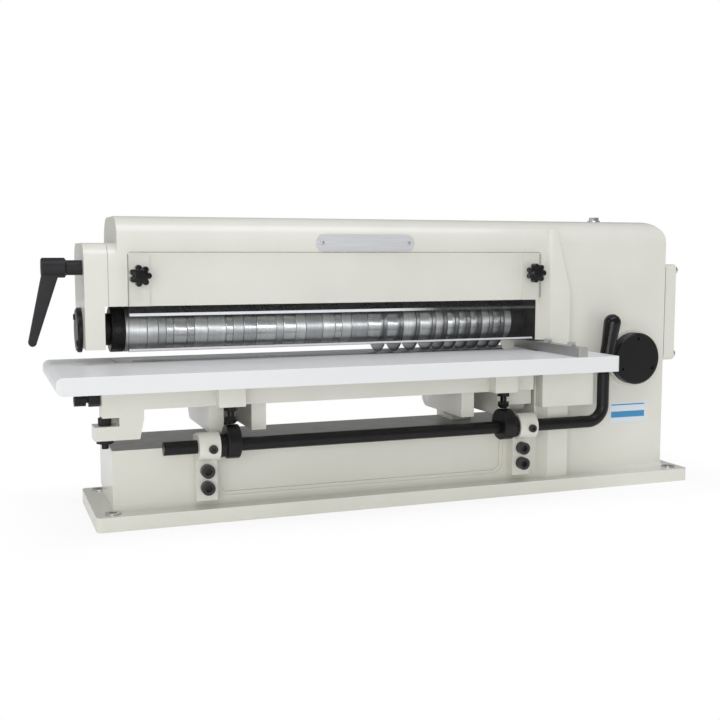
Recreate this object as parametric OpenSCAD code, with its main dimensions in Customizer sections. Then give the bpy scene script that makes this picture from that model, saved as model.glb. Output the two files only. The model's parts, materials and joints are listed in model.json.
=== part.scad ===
/* [Base] */
// Width of the base plate, front to back
base_w = 165; // [150:1:220]
// Thickness of the base plate
base_t = 17; // [10:0.5:24]
// Corner radius of the base plate
base_r = 6; // [2:0.5:12]
// Base plate left of the beam
lip_l = 22; // [18:0.5:60]
// Base plate right of the column
lip_r = 24; // [14:0.5:60]
// Hold-down hole diameter
hold_d = 9; // [6:0.5:12]
// Hold-down hole, distance from the plate's end
hold_x = 20; // [14:0.5:24]
// Hold-down hole, distance from the plate's front or back edge
hold_y = 17; // [14:0.5:20]
/* [Casting] */
// Beam's left end to the column's inner face
throat_w = 551; // [420:1:700]
// Width of the column
column_w = 203; // [190:1:260]
// Base plate's front edge to the casting's front face
body_in = 30; // [24:0.5:45]
// Depth of the casting, front to back
body_d = 120; // [110:1:150]
// Height of the beam above the base plate
beam_h = 70; // [60:1:80]
// Height of the arm's section
arm_h = 103; // [90:1:130]
// Radius along the arm's and the column's top edges
top_r = 30; // [16:1:36]
// Radius of the column's top right corner
column_r = 24; // [10:1:36]
// Wall of the arm and the column
wall = 12; // [9:0.5:14]
// Depth of the shallow panel in the beam's front
panel_d = 4.5; // [1:0.5:6]
// How far the column's front rib stands out
rib_d = 13; // [6:0.5:14]
/* [Cutter] */
// Height of the cutter shaft above the bench
cut_z = 224; // [218:0.5:240]
// Cutter shaft behind the casting's front face
cut_in = 50; // [46:0.5:58]
// Cutter shaft diameter
shaft_d = 30; // [24:0.5:34]
// Outside diameter of the spacer rings
ring_d = 54; // [48:0.5:56]
// Thickness of a round knife
knife_t = 1.5; // [1:0.1:2.5]
// Number of knives set for wide straps
wide_n = 3; // [1:1:5]
// Width of a wide strap
wide_w = 22.5; // [16:0.5:24]
// Number of knives set for narrow straps
narrow_n = 7; // [2:1:8]
// Width of a narrow strap
narrow_w = 16.5; // [10:0.5:18]
/* [Feed] */
// Diameter of the feed roller
roller_d = 48; // [40:0.5:52]
// Teeth on each of the two gears
teeth = 31; // [29:1:33]
// Gear module
gear_m = 2; // [1.9:0.05:2.1]
// Width of the gears
gear_w = 20; // [12:1:26]
/* [Table] */
// Thickness of the table
table_t = 19.4; // [14:0.2:24]
// Table in front of the casting's front face
table_front = 110; // [60:1:160]
// Table left of the end block
table_left = 43; // [10:1:80]
// Table right of the column's inner face
table_right = 58; // [30:1:80]
// Radius of the table's ends
table_r = 8; // [2:0.5:9]
// Width of the fence bar
fence_w = 12.5; // [8:0.5:13]
// Height of the fence bar
fence_h = 12; // [6:0.5:12.5]
/* [Lift] */
// Diameter of the lift shaft
rod_d = 16; // [12:0.5:18]
// Height of the lift shaft above the bench
rod_z = 90; // [87:0.5:92]
// Lift shaft in front of the casting's front face
rod_out = 22; // [21:0.5:24]
// Diameter of the eccentrics
cam_d = 40; // [34:0.5:42]
// Offset of the eccentrics
cam_throw = 4; // [3:0.5:5]
// Height of the lever above the lift shaft
lever_h = 142; // [110:1:180]
// Bracket width along the lift shaft
bracket_w = 25; // [20:1:28]
/* [Guard] */
// Thickness of the clear guard
guard_t = 3; // [2:0.5:3.5]
// Depth of the lip where the guard bends back into the throat
guard_lip = 9; // [3:0.5:10]
// Diameter of the star knobs
knob_d = 25; // [20:0.5:28]
/* [Hidden] */
$fn = 48;

// Clearances: running fit, loose seat and open gap
fit = 0.05;
seat = 0.1;
gap = 0.3;

// Paint and metal
cream = [0.90, 0.89, 0.84];
black = [0.08, 0.08, 0.09];
steel = [0.70, 0.71, 0.72];
bronze = [0.72, 0.53, 0.26];

// Base and casting, origin under the middle of the base plate
base_l = lip_l + throat_w + column_w + lip_r;
x_left = -base_l / 2 + lip_l;
x_col = x_left + throat_w;
x_right = x_col + column_w;
y_front = -base_w / 2 + body_in;
y_back = y_front + body_d;
beam_top = base_t + beam_h;
cut_y = y_front + cut_in;
pocket_clear = 29;
arm_z = cut_z + pocket_clear;
top_z = arm_z + arm_h;
hump_x = x_left + 11;
pad_t = 3;
foot_r = 7;
corner_r = 8;
throat_r = 2.5;
panel_r = 15;
panel_step = 4;
inner_wall = 27;
arm_roof = 26;
front_pad_w = 79;
chamber_x = x_col + inner_wall;
chamber_z0 = 120;

// Cutter and feed
centre_gap = gear_m * teeth;
roller_z = cut_z - centre_gap;
knife_r = centre_gap - roller_d / 2 - gap;
block_w = 26;
block_relief = 4;
cap_t = 6;
cap_screw_r = 20.5;
block_d = body_d - 10;
block_r = 22;
block_z0 = cut_z - 20;
block_top = arm_z + 72;
journal_r = 10;
bush_t = 6;
shoulder_x = x_left + 1 - block_relief;
nut_w = 5 + block_relief;
collar_w = 16;
collar_x = x_left + 6;
stack_x0 = collar_x + collar_w;
end_collar_w = 20;
end_gap = 3;
stack_x1 = x_col - end_gap - end_collar_w;
gear_x = chamber_x + 12;
right_bore_r = shaft_d / 2 + bush_t;
ring_gap = 0.15;
knife_x0 = stack_x1 - narrow_n * narrow_w - wide_n * wide_w;

// Table and carriage
table_z = roller_z + roller_d / 2 + 0.4;
table_z0 = table_z - table_t;
table_y0 = y_front - table_front;
slot_y = cut_y - roller_d / 2 - 4;
slot_y1 = cut_y + roller_d / 2 + 4;
table_y1 = slot_y1 + 12;
tab_x = x_left + 9;
slot_r = 4;
table_step_x = x_col - 7;
table_step_y = y_front - rib_d - 3;
fence_x = x_col - 2;
apron_y = y_front - 10;
apron_t = 12;
apron_z = table_z0 - 32;
flange_t = 8;
arm_z0 = beam_top + 15;
carriage_arm_h = 33;
piv_y = y_back - 10;
piv_z = arm_z0 + 12;
piv_r = 5;
fork_x = [x_left + 113, x_col - 107];
cheek_w = 18;
cheek_in = 34;
bracket_x = x_left - 11;
bracket_l = 47;
step_l = 19;
foot_z = arm_z0 - 1;
foot_t = 16;
foot_out = 9;
foot_screw_x = bracket_x + 4;
foot_screw_y = y_front + 4;
foot_nut_t = 5;
adjust_y = y_front + 10;
adjust_z = foot_z + 46;
adjust_nut_t = 13;

// Lift shaft
rod_y = y_front - rod_out;
left_bracket_x = x_left + 94;
right_bracket_x = x_col - 15 - bracket_w;
left_cam_x = left_bracket_x + bracket_w + gap;
right_cam_x = right_bracket_x - gap;
cam_w = 16;
hub_w = 8;
hub_t = 6;
stud_x = [left_cam_x + hub_w + cam_w / 2, right_cam_x - hub_w - cam_w / 2];
stud_y = rod_y + 3;
cam_top = rod_z + cam_throw + cam_d / 2;
rod_x0 = x_left + 55;
panel_x = [left_bracket_x + bracket_w + 2, right_bracket_x - 6];
lever_x = x_col + 92;
bend_r = 22;
set_at = 0.62;
set_r = 5;
set_len = 12;
lean = 10;
knee_z = rod_z + 62;
grip_h = lever_h - 80;
core_h = grip_h + 12;

// Guard
guard_y = y_front - pad_t - seat;
guard_x0 = x_left + 21.5;
guard_x1 = x_col + 3.5;
guard_z0 = cut_z - 23.5;
guard_z1 = arm_z + 62;
guard_bend_z = cut_z + 14.5;
guard_bend_r = 15;
lip_x1 = x_col - 3.5;
stud_in = 12.5;
knob_z = arm_z + 35;
guard_slot_w = 7.5;
guard_slot_top = knob_z + 20;
knob_x = [guard_x0 + stud_in, guard_x1 - stud_in];

// Arc points around a centre
function arc(c, r, a0, a1, n = 8) =
    [for (i = [0:n]) let (a = a0 + (a1 - a0) * i / n) [c[0] + r * cos(a), c[1] + r * sin(a)]];

// A flat shape drawn in Y and Z, thickened along X
module along_x(x, len) {
    translate([x, 0, 0]) rotate([90, 0, 90]) linear_extrude(len) children();
}

// A flat shape drawn in X and Z, thickened along Y
module along_y(y, len) {
    translate([0, y + len, 0]) rotate([90, 0, 0]) linear_extrude(len) children();
}

module rod_along_x(x, y, z, r, len) {
    translate([x, y, z]) rotate([0, 90, 0]) cylinder(r = r, h = len);
}

module rod_along_y(x, y, z, r, len) {
    translate([x, y, z]) rotate([-90, 0, 0]) cylinder(r = r, h = len);
}

module rod_up(x, y, z, r, len) {
    translate([x, y, z]) cylinder(r = r, h = len);
}

// Box from its lowest to its highest corner
module block(a, b) {
    translate(a) cube(b - a);
}

// Rectangle with round corners
module round_rect(a, b, r) {
    translate([a[0] + r, a[1]]) square([b[0] - a[0] - 2 * r, b[1] - a[1]]);
    translate([a[0], a[1] + r]) square([b[0] - a[0], b[1] - a[1] - 2 * r]);
    for (x = [a[0] + r, b[0] - r], y = [a[1] + r, b[1] - r]) translate([x, y]) circle(r);
}

// Concave corner between two edges, sx and sy give its side
module corner_fill(x, y, r, sx, sy) {
    difference() {
        translate([sx > 0 ? x : x - r, sy > 0 ? y : y - r]) square(r);
        translate([x + sx * r, y + sy * r]) circle(r);
    }
}

// Hexagon by its width across flats
module hex(af) {
    circle(d = af / cos(30), $fn = 6);
}

// Cap screw pointing along +Z, with its head below the seat at z = 0
module cap_screw(d, len, head_d, head_h) {
    difference() {
        union() {
            translate([0, 0, -head_h]) cylinder(d = head_d, h = head_h);
            cylinder(d = d, h = len);
        }
        translate([0, 0, -head_h - 1]) linear_extrude(head_h * 0.6 + 1) hex(d * 0.8);
    }
}

// Hexagon screw pointing along +Z, head below the seat at z = 0
module hex_screw(d, len, af, head_h) {
    cylinder(d = d, h = len);
    translate([0, 0, -head_h]) linear_extrude(head_h) hex(af);
}

// Nut on its seat at z = 0
module hex_nut(bore, af, h) {
    linear_extrude(h) difference() {
        hex(af);
        circle(d = bore);
    }
}

// Side view of the casting: straight flanks, round top edges, filleted foot
module casting_side_2d() {
    translate([y_front, base_t - 1]) square([body_d, top_z - top_r - base_t + 1]);
    translate([y_front + top_r, base_t]) square([body_d - 2 * top_r, top_z - base_t]);
    for (y = [y_front + top_r, y_back - top_r]) translate([y, top_z - top_r]) circle(top_r);
    corner_fill(y_front, base_t, foot_r, -1, 1);
    corner_fill(y_back, base_t, foot_r, 1, 1);
}

// Front view of the casting: beam, column and arm round the open throat
module casting_front_2d() {
    translate([x_left, base_t - 1]) square([throat_w + column_w, beam_h + 1]);
    translate([x_col, base_t]) square([column_w - column_r, top_z - base_t]);
    translate([x_col, base_t]) square([column_w, top_z - column_r - base_t]);
    translate([x_right - column_r, top_z - column_r]) circle(column_r);
    translate([hump_x, arm_z]) square([x_col - hump_x + 1, arm_h]);
    corner_fill(x_col, arm_z, throat_r, -1, -1);
    corner_fill(x_col, beam_top, corner_r, -1, 1);
    corner_fill(x_right, base_t, foot_r, 1, 1);
}

// Side view of the left bearing housing
module block_side_2d() {
    round_rect([y_front, block_z0], [y_front + block_d, block_top], block_r);
    translate([y_front, block_z0]) square([block_d, 40]);
}

module column_rib() {
    rib_x = [x_col + 2, x_col + 14, x_col + 44];
    y = y_front - rib_d;
    tip = [x_col + 20, x_col + 30];
    hull() {
        for (z = [base_t, top_z - 95]) translate([0, 0, z]) linear_extrude(1)
            polygon([[rib_x[0], y_front + 2], [rib_x[1], y], [rib_x[2], y], [rib_x[2], y_front + 2]]);
        translate([0, 0, top_z - 12]) linear_extrude(1)
            polygon([[tip[0], y_front + 2], [tip[0] + 4, y_front - 0.5],
                [tip[1], y_front - 0.5], [tip[1], y_front + 2]]);
    }
}

// Places on the column
drive_x = x_col + 149;
drive_z = 171;
drive_out = 38;
drive_shoulder = 3;
pulley_r = 9.5;
cover_d = 70;
cover_t = 14;
cover_boss = 4;
cover_screw_r = 27;
side_cover_y = [y_front + 4, y_back - 5];
side_cover_z = [drive_z - 6, arm_z + 45];
side_cover_t = 17;
side_rim = 16;
side_spacer = 4;
oil_x = x_right - 78;
oil_y = y_front + body_d / 2;
clamp_y = y_front + 21;
clamp_z = arm_z + 44;
clamp_d = 10;
screw_d = 10;
tap_depth = 16;
bracket_z = [rod_z - 50, rod_z - 30];
bracket_plate_t = 16;
small_d = 6;
washer_d = 18;

module hold_down_places() {
    for (x = [-1, 1], y = [-1, 1])
        translate([x * (base_l / 2 - hold_x), y * (base_w / 2 - hold_y), 0]) children();
}

module side_cover_places() {
    for (y = side_cover_y + [8, -8], z = side_cover_z + [8, -8])
        translate([x_right, y, z]) rotate([0, 90, 0]) children();
}

module front_cover_places() {
    for (a = [90, 210, 330])
        translate([drive_x + cover_screw_r * cos(a), y_front - cover_boss, drive_z + cover_screw_r * sin(a)])
            rotate([-90, 0, 0]) children();
}

module pedestal_places() {
    for (x = fork_x) translate([x + cheek_w + cheek_in / 2, 0, 0]) children();
}

module bracket_screw_places() {
    for (x = [left_bracket_x, right_bracket_x], z = bracket_z)
        translate([x + bracket_w / 2, y_front, z]) rotate([-90, 0, 0]) children();
}

module casting_hollows() {
    block([x_left + 23, y_front + wall + 2, arm_z - 1], [x_col, y_back - wall - 2, top_z - arm_roof]);
    block([chamber_x, y_front + wall, chamber_z0], [x_right - wall, y_back - wall, top_z - arm_roof]);
    along_x(x_right - wall - 1, wall + 2)
        round_rect([side_cover_y[0] + side_rim, side_cover_z[0] + side_rim],
            [side_cover_y[1] - side_rim, side_cover_z[1] - side_rim], 8);
    block([x_col - 1, y_front - rib_d - 1, table_z0 - 7],
        [x_col + fence_w, y_back + 1, table_z + fence_h + 1.5]);
    for (step = [0, panel_step])
        along_y(y_front - 1, panel_d * (step > 0 ? 1 : 0.4) + 1)
            round_rect([panel_x[0] + step, base_t + 8 + step], [panel_x[1] - step, beam_top - 5 - step],
                panel_r - step);
}

module casting_holes() {
    hold_down_places() {
        translate([0, 0, -1]) cylinder(d = hold_d, h = base_t + 2);
        translate([0, 0, base_t]) cylinder(d = washer_d + 1, h = foot_r + 1);
    }
    rod_along_x(x_col - 1, cut_y, cut_z, right_bore_r, inner_wall + 2);
    along_x(x_col - 1, inner_wall + 2)
        round_rect([cut_y - journal_r - 3, roller_z - journal_r - 5],
            [cut_y + journal_r + 3, roller_z + journal_r + 4], 6);
    rod_along_y(drive_x, y_front - cover_boss - 1, drive_z, journal_r + bush_t, body_d + cover_boss + 2);
    rod_along_x(x_left - 1, clamp_y, clamp_z, clamp_d / 2 + seat, 22);
    for (x = knob_x) rod_along_y(x, y_front - pad_t - 1, knob_z, small_d / 2 + seat, wall + pad_t + 4);
    bracket_screw_places() translate([0, 0, -1]) cylinder(d = screw_d + 2 * seat, h = tap_depth + 1);
    pedestal_places() translate([0, piv_y - 28, beam_top - 14]) cylinder(d = 8 + 2 * seat, h = 15);
    front_cover_places() translate([0, 0, -1]) cylinder(d = small_d + 2 * seat, h = 11);
    side_cover_places() translate([0, 0, -wall - 1]) cylinder(d = small_d + 2 * seat, h = wall + 2);
    translate([oil_x, oil_y, top_z - arm_roof - 1]) cylinder(d = 10 + 2 * seat, h = arm_roof + 2);
}

module frame_casting() {
    color(cream) difference() {
        union() {
            linear_extrude(base_t)
                round_rect([-base_l / 2, -base_w / 2], [base_l / 2, base_w / 2], base_r);
            intersection() {
                along_x(-base_l, 2 * base_l) casting_side_2d();
                along_y(y_front - 20, body_d + 40) casting_front_2d();
            }
            intersection() {
                along_x(x_left, hump_x - x_left + 1) block_side_2d();
                block([x_left, y_front, arm_z], [hump_x + 1, y_back, block_top + 1]);
            }
            column_rib();
            block([x_col + 2, y_front - rib_d - 5, rod_z + bend_r],
                [x_col + front_pad_w, y_front + 1, table_z0 - 5]);
            rod_along_y(drive_x, y_front - cover_boss, drive_z, cover_d / 2 + 4, cover_boss + 1);
            for (x = [guard_x0, guard_x1 - 2 * stud_in])
                block([x, y_front - pad_t, arm_z], [x + 2 * stud_in, y_front + 1, guard_z1 - 3]);
        }
        casting_hollows();
        casting_holes();
    }
}

module end_block() {
    color(cream) difference() {
        along_x(x_left - block_w, block_w) block_side_2d();
        block([x_left - block_relief, y_front - 1, block_z0 - 1], [x_left + 1, y_back, arm_z]);
        rod_along_x(x_left - block_w - 1, cut_y, cut_z, journal_r + bush_t, block_w + 2);
        rod_along_x(x_left - block_w - 1, clamp_y, clamp_z, clamp_d / 2 + seat, block_w + 2);
        for (a = [45, 225]) rod_along_x(x_left - block_w - 1, cut_y + cap_screw_r * cos(a),
            cut_z + cap_screw_r * sin(a), 2 + seat, 12);
    }
}

// Plain bearing bush along X
module bush(x, y, z, r, t, len) {
    difference() {
        rod_along_x(x, y, z, r + t - seat, len);
        rod_along_x(x - 1, y, z, r + fit, len + 2);
    }
}

module left_bush() {
    color(bronze) bush(x_left - block_w, cut_y, cut_z, journal_r, bush_t, block_w - block_relief);
}

module right_bush() {
    color(bronze) bush(x_col, cut_y, cut_z, shaft_d / 2, bush_t, inner_wall);
}

module bearing_cap() {
    x = x_left - block_w - cap_t;
    color(black) difference() {
        translate([x, cut_y, cut_z]) rotate([0, 90, 0]) rotate_extrude()
            polygon([[0, 0], [24.3, 0], [26.3, 2], [26.3, cap_t], [0, cap_t]]);
        for (a = [45, 225])
            rod_along_x(x - 1, cut_y + cap_screw_r * cos(a), cut_z + cap_screw_r * sin(a), 2 + seat, 8);
    }
}

module cap_screws() {
    color(black) for (a = [45, 225])
        translate([x_left - block_w - cap_t, cut_y + cap_screw_r * cos(a), cut_z + cap_screw_r * sin(a)])
            rotate([0, 90, 0]) cap_screw(4, 15, 7, 1.2);
}

module clamp_screw() {
    color(steel) rod_along_x(x_left - block_w - 17, clamp_y, clamp_z, clamp_d / 2, block_w + 37);
}

// Die-cast clamping handle: stepped hub round the screw and a tapered hanging arm
module clamp_lever() {
    hub_x = x_left - block_w - gap;
    color(black) {
        difference() {
            translate([hub_x, clamp_y, clamp_z]) rotate([0, -90, 0]) rotate_extrude()
                polygon([[0, 0], [8.5, 0], [8.5, 17], [11.3, 19], [11.3, 43], [10, 44.5], [0, 44.5]]);
            rod_along_x(hub_x - 17.5, clamp_y, clamp_z, clamp_d / 2 + seat, 20);
        }
        hull() {
            translate([hub_x - 34, clamp_y, clamp_z - 4]) rotate([90, 0, 0])
                cylinder(r = 9, h = 15, center = true, $fn = 24);
            translate([hub_x - 56, clamp_y, clamp_z - 84]) rotate([90, 0, 0])
                cylinder(r = 4.5, h = 9, center = true, $fn = 24);
        }
        hull() {
            translate([hub_x - 56, clamp_y, clamp_z - 84]) rotate([90, 0, 0])
                cylinder(r = 4.5, h = 9, center = true, $fn = 24);
            translate([hub_x - 50, clamp_y, clamp_z - 67]) rotate([90, 0, 0])
                cylinder(r = 2, h = 8, center = true, $fn = 16);
        }
    }
}

module front_cover() {
    color(black) difference() {
        translate([drive_x, y_front - cover_boss, drive_z]) rotate([90, 0, 0]) rotate_extrude()
            polygon([[0, 0], [cover_d / 2, 0], [cover_d / 2, cover_t - 2],
                [cover_d / 2 - 2, cover_t], [0, cover_t]]);
        rod_along_y(drive_x, y_front - cover_boss - 7, drive_z, journal_r + 4, 8);
        front_cover_places() translate([0, 0, -cover_t - 1]) cylinder(d = small_d + 2 * seat, h = cover_t + 2);
        front_cover_places() translate([0, 0, -cover_t - 0.01]) cylinder(d1 = 12.4, d2 = 6, h = 3.3);
    }
}

module front_cover_screws() {
    color(black) front_cover_places() difference() {
        union() {
            translate([0, 0, -cover_t]) cylinder(d1 = 12, d2 = small_d, h = 3);
            translate([0, 0, -cover_t + 1]) cylinder(d = small_d, h = cover_t + 8);
        }
        translate([0, 0, -cover_t - 1]) linear_extrude(3) hex(4);
    }
}

module side_cover() {
    x = x_right + side_spacer;
    color(cream) difference() {
        along_x(x, side_cover_t)
            round_rect([side_cover_y[0], side_cover_z[0]], [side_cover_y[1], side_cover_z[1]], 6);
        along_x(x - 1, side_cover_t - 3)
            round_rect([side_cover_y[0] + side_rim, side_cover_z[0] + side_rim],
                [side_cover_y[1] - side_rim, side_cover_z[1] - side_rim], 6);
        side_cover_places() translate([0, 0, -1]) cylinder(d = small_d + 2 * seat, h = 30);
    }
}

module side_cover_spacers() {
    color(steel) side_cover_places() difference() {
        cylinder(d = 12, h = side_spacer);
        translate([0, 0, -1]) cylinder(d = small_d + 2 * seat, h = side_spacer + 2);
    }
}

module side_cover_screws() {
    color(steel) side_cover_places() translate([0, 0, side_spacer + side_cover_t])
        rotate([180, 0, 0]) cap_screw(small_d, side_spacer + side_cover_t + 10, 10, 5);
}

module oil_plug() {
    color(steel) translate([oil_x, oil_y, top_z]) {
        translate([0, 0, -14]) cylinder(d = 10, h = 16);
        cylinder(d = 17, h = 2.5);
        translate([0, 0, 2]) linear_extrude(5) hex(13);
    }
}

module hold_down_washers() {
    color(steel) hold_down_places() translate([0, 0, base_t]) difference() {
        cylinder(d = washer_d, h = 1.6);
        translate([0, 0, -1]) cylinder(d = hold_d, h = 4);
    }
}

// Belt drive shaft across the column, with a keyway at its back end
module drive_shaft() {
    y = y_front - cover_boss - 5;
    y_end = y_back + drive_out;
    key_l = 14;
    color(steel) difference() {
        union() {
            rod_along_y(drive_x, y, drive_z, journal_r, y_back + drive_shoulder - y);
            rod_along_y(drive_x, y_back, drive_z, pulley_r, drive_out);
        }
        block([drive_x - 3, y_end - key_l, drive_z + pulley_r - 3.5],
            [drive_x + 3, y_end + 1, drive_z + pulley_r + 1]);
    }
}

module drive_bushes() {
    color(bronze) for (y = [y_front, y_back - wall]) difference() {
        rod_along_y(drive_x, y, drive_z, journal_r + bush_t - fit, wall);
        rod_along_y(drive_x, y - 1, drive_z, journal_r + fit, wall + 2);
    }
}

module cutter_shaft() {
    color(steel) {
        rod_along_x(x_left - block_w + 1, cut_y, cut_z, journal_r, block_w - block_relief + 1);
        rod_along_x(shoulder_x, cut_y, cut_z, shaft_d / 2, gear_x + gear_w + 2 - shoulder_x);
    }
}

module shaft_nut() {
    color(black) difference() {
        rod_along_x(shoulder_x, cut_y, cut_z, shaft_d / 2 + 4, nut_w - seat);
        rod_along_x(shoulder_x - 1, cut_y, cut_z, shaft_d / 2 + fit, nut_w + 2);
    }
}

// Ring on the cutter shaft with small chamfers
module shaft_ring(x, w, d, chamfer) {
    r = d / 2;
    b = shaft_d / 2 + fit;
    translate([x, cut_y, cut_z]) rotate([0, 90, 0]) rotate_extrude()
        polygon([[b, 0], [r - chamfer, 0], [r, chamfer], [r, w - chamfer], [r - chamfer, w], [b, w]]);
}

module set_collar() {
    color(black) difference() {
        shaft_ring(collar_x, collar_w - ring_gap, ring_d, 1);
        rod_along_y(collar_x + collar_w / 2, cut_y - ring_d / 2 - 1, cut_z,
            4 + seat, ring_d / 2 - shaft_d / 2 + 1);
    }
}

module collar_screw() {
    len = (ring_d - shaft_d) / 2 - 2;
    color(black) difference() {
        rod_along_y(collar_x + collar_w / 2, cut_y - shaft_d / 2 - gap - len, cut_z, 4, len);
        translate([collar_x + collar_w / 2, cut_y - shaft_d / 2 - gap - len - 1, cut_z])
            rotate([-90, 0, 0]) linear_extrude(4) hex(4);
    }
}

// Packing of mixed rings left of the knives; the last one takes up the rest
packing = [25, 13, 9, 9, 16, 9, 16, 22, 9, 13, 16, 25, 9, 16, 13, 22, 16, 9, 13, 22, 16];
function packing_end(i) = i < 0 ? stack_x0 : packing_end(i - 1) + packing[i % len(packing)];
function knife_x(i) = knife_x0 + wide_w * min(i, wide_n) + narrow_w * max(0, i - wide_n);

module spacer_rings() {
    count = 80;
    color(steel) {
        for (i = [0:count]) let (a = packing_end(i - 1), b = packing_end(i))
            if (b < knife_x0 - 6) shaft_ring(a, b - a - ring_gap, ring_d, 0.5);
            else if (a < knife_x0 - 6) shaft_ring(a, knife_x0 - a - ring_gap, ring_d, 0.5);
        for (i = [0:wide_n + narrow_n - 1]) let (a = knife_x(i) + knife_t)
            shaft_ring(a, knife_x(i + 1) - a - ring_gap, ring_d, 0.5);
    }
}

module knives() {
    b = shaft_d / 2 + fit;
    edge = 4;
    t = knife_t - ring_gap;
    color(steel) for (i = [0:wide_n + narrow_n - 1])
        translate([knife_x(i), cut_y, cut_z]) rotate([0, 90, 0]) rotate_extrude($fn = 96)
            polygon([[b, 0], [knife_r - edge, 0], [knife_r, t / 2 - 0.1], [knife_r, t / 2 + 0.1],
                [knife_r - edge, t], [b, t]]);
}

module end_collar() {
    color(steel) shaft_ring(stack_x1, end_collar_w, ring_d, 1);
}

// Spur gear of round-sided teeth, with a tooth or a gap at angle zero
module gear_2d(bore_r, gap_up) {
    pitch_r = gear_m * teeth / 2;
    step = 360 / teeth;
    half_tip = step * 0.10;
    half_mid = step * 0.195;
    half_root = step * 0.29;
    turn = gap_up ? step / 2 : 0;
    difference() {
        polygon([for (i = [0:teeth - 1]) for (s = [[-half_root, -1.2], [-half_mid, 0], [-half_tip, 0.85],
            [half_tip, 0.85], [half_mid, 0], [half_root, -1.2]])
            let (a = 90 + turn + i * step + s[0], r = pitch_r + s[1] * gear_m) [r * cos(a), r * sin(a)]]);
        circle(bore_r);
    }
}

module upper_gear() {
    color(steel) translate([0, cut_y, cut_z]) rotate([180, 0, 0])
        along_x(gear_x, gear_w) gear_2d(shaft_d / 2 + fit, false);
}

module lower_gear() {
    color(steel) translate([0, cut_y, roller_z])
        along_x(gear_x, gear_w) gear_2d(journal_r + fit, true);
}

roller_x0 = x_left + 33;
roller_x1 = x_col - 23;
ear_x = [x_left + 16, x_col - 20];
ear_w = [14, 15];
ear_r = 18;

module feed_roller() {
    color([0.85, 0.85, 0.84]) {
        translate([roller_x0, cut_y, roller_z]) rotate([0, 90, 0]) rotate_extrude($fn = 96)
            polygon([[0, 0], [roller_d / 2 - 1, 0], [roller_d / 2, 1],
                [roller_d / 2, roller_x1 - roller_x0 - 1], [roller_d / 2 - 1, roller_x1 - roller_x0],
                [0, roller_x1 - roller_x0]]);
        rod_along_x(ear_x[0], cut_y, roller_z, journal_r, roller_x0 - ear_x[0] + 1);
        rod_along_x(roller_x1 - 1, cut_y, roller_z, journal_r, gear_x + gear_w + 2 - roller_x1);
    }
}

// Side view of a swing arm from the apron back to its pivot, with a post under the table's rear
module swing_arm_2d() {
    translate([y_front, arm_z0]) square([piv_y - y_front, carriage_arm_h]);
    translate([y_front, arm_z0]) square([22, table_z0 - arm_z0]);
    translate([slot_y1, arm_z0 + 1]) square([table_y1 - slot_y1, table_z0 - arm_z0 - 1]);
    translate([piv_y, arm_z0 + 16.5]) circle(16.5);
}

module carriage_casting() {
    stud_boss = 16;
    color(cream) difference() {
        union() {
            // Apron and the flange that the table lies on
            block([bracket_x + bracket_l - 1, apron_y, apron_z], [table_step_x, apron_y + apron_t, table_z0]);
            block([bracket_x, apron_y, table_z0 - flange_t], [table_step_x, slot_y, table_z0]);
            // Left bracket with its stepped foot
            block([bracket_x, apron_y, foot_z + 26], [bracket_x + step_l + 1, slot_y - 2, table_z0]);
            along_y(apron_y, slot_y - 2 - apron_y) polygon([[bracket_x + step_l, foot_z],
                [bracket_x + bracket_l - 5, foot_z], [bracket_x + bracket_l, foot_z + 24],
                [bracket_x + bracket_l, table_z0], [bracket_x + step_l, table_z0]]);
            block([bracket_x, slot_y - 8, foot_z + foot_t - 1], [bracket_x + step_l + 1, slot_y - 2, foot_z + 27]);
            block([bracket_x - foot_out, apron_y, foot_z], [bracket_x + step_l + 1, slot_y - 2, foot_z + foot_t]);
            // Roller bearing ears
            for (i = [0, 1]) {
                rod_along_x(ear_x[i], cut_y, roller_z, ear_r, ear_w[i]);
                block([ear_x[i], apron_y + 10, apron_z - 6], [ear_x[i] + ear_w[i], cut_y + ear_r, roller_z]);
            }
            // Right lug below the bearing ear
            block([x_col - 52, y_front, foot_z + 14], [x_col - 5, y_front + 60, apron_z]);
            rod_along_x(x_col - 52, y_front + 30, foot_z + 15, 14, 47);
            for (x = fork_x, dx = [0, cheek_w + cheek_in]) along_x(x + dx, cheek_w) swing_arm_2d();
            for (x = stud_x)
                block([x - stud_boss, stud_y - 9, apron_z], [x + stud_boss, apron_y + 1, table_z0]);
        }
        for (i = [0, 1]) rod_along_x(ear_x[i] - 1, cut_y, roller_z, journal_r + 4, ear_w[i] + 2);
        for (x = fork_x) rod_along_x(x - 1, piv_y, piv_z, piv_r + fit, 2 * cheek_w + cheek_in + 2);
        for (x = stud_x) translate([x, stud_y, apron_z - 1]) cylinder(r = 4 + seat, h = 22);
        rod_along_x(bracket_x - 1, adjust_y, adjust_z, 4 + seat, 22);
        rod_up(foot_screw_x, foot_screw_y, foot_z - 1, 4 + seat, foot_t + 2);
        table_screw_places() translate([0, 0, -flange_t - 1]) cylinder(d = small_d + 2 * seat, h = flange_t + 2);
    }
}

module table_screw_places() {
    for (x = [x_left + 60, x_left + 230, x_col - 230, x_col - 72])
        translate([x, y_front + 12, table_z0]) children();
}

module roller_bushes() {
    color(bronze) for (i = [0, 1]) bush(ear_x[i], cut_y, roller_z, journal_r, 4, ear_w[i]);
}

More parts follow.
